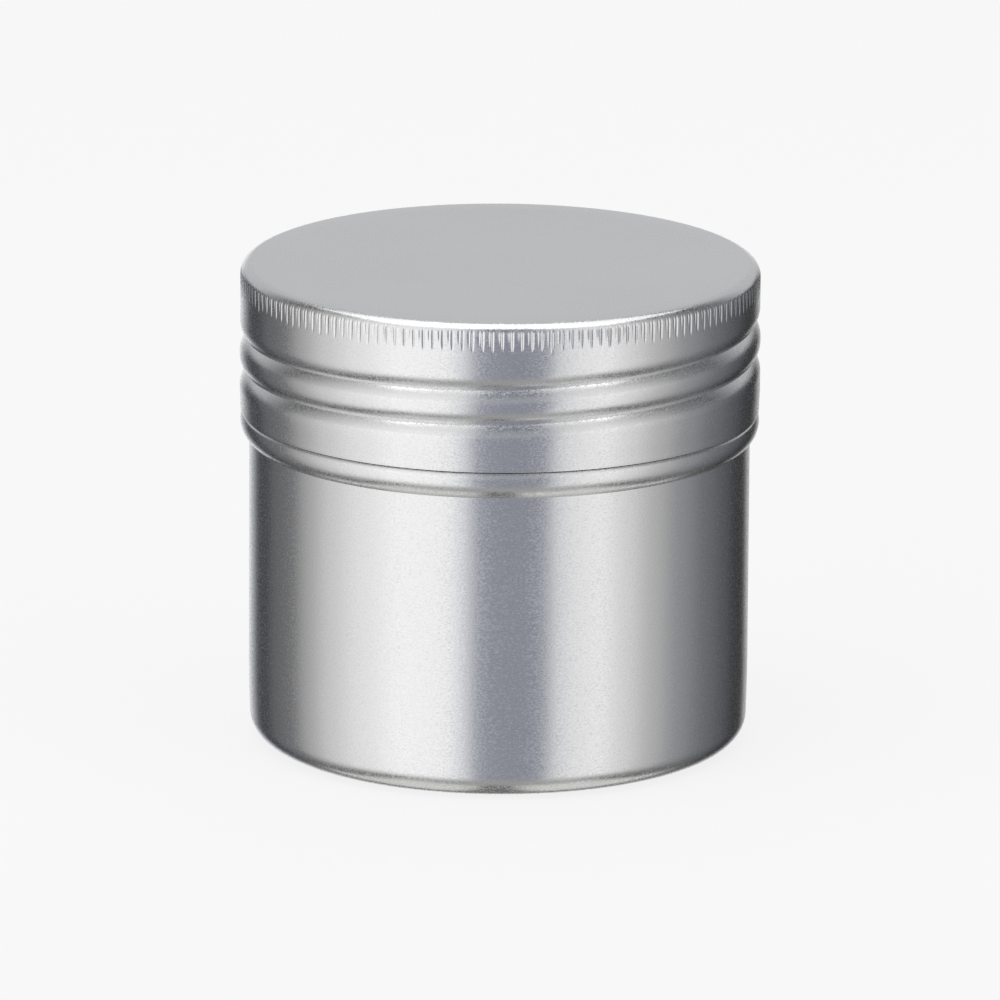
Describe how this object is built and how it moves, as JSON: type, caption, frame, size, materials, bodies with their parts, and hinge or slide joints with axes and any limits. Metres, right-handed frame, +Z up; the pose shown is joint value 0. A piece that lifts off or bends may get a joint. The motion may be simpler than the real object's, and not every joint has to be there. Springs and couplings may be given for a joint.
{
  "type": "candle tin",
  "caption": "Round aluminium screw-top tin for pouring candles, with a rolled screw lid, knurled shoulder, stop bead and foam sealing disc.",
  "frame": {"origin": "centre of the base, on the plane of the standing ring", "axes": "+Z up along the tin's axis and out through the lid; front towards -Y"},
  "size_m": [0.07, 0.07, 0.0655],
  "materials": {
    "can_aluminium": "satin, fine lines round the wall",
    "lid_aluminium": "satin, fine lines round the skirt, flat satin top",
    "liner_foam": "soft closed-cell polyethylene foam"
  },
  "bodies": {
    "can": {"tin_body": "can_aluminium"},
    "liner": {"lid_liner": "liner_foam"},
    "lid": {"screw_lid": "lid_aluminium"}
  },
  "joints": [
    {"name": "lid_lift", "type": "slide", "parent": "can", "child": "liner", "axis": [0, 0, 1], "range_m": [0, 0.0188]},
    {"name": "lid_turn", "type": "hinge", "parent": "liner", "child": "lid", "pos_m": [0, 0, 0.0553], "axis": [0, 0, 1], "range_deg": [0, 1440]}
  ],
  "couplings": [
    {"joint": "lid_lift", "follows": "lid_turn", "m_per_rad": 0.00074803}
  ]
}
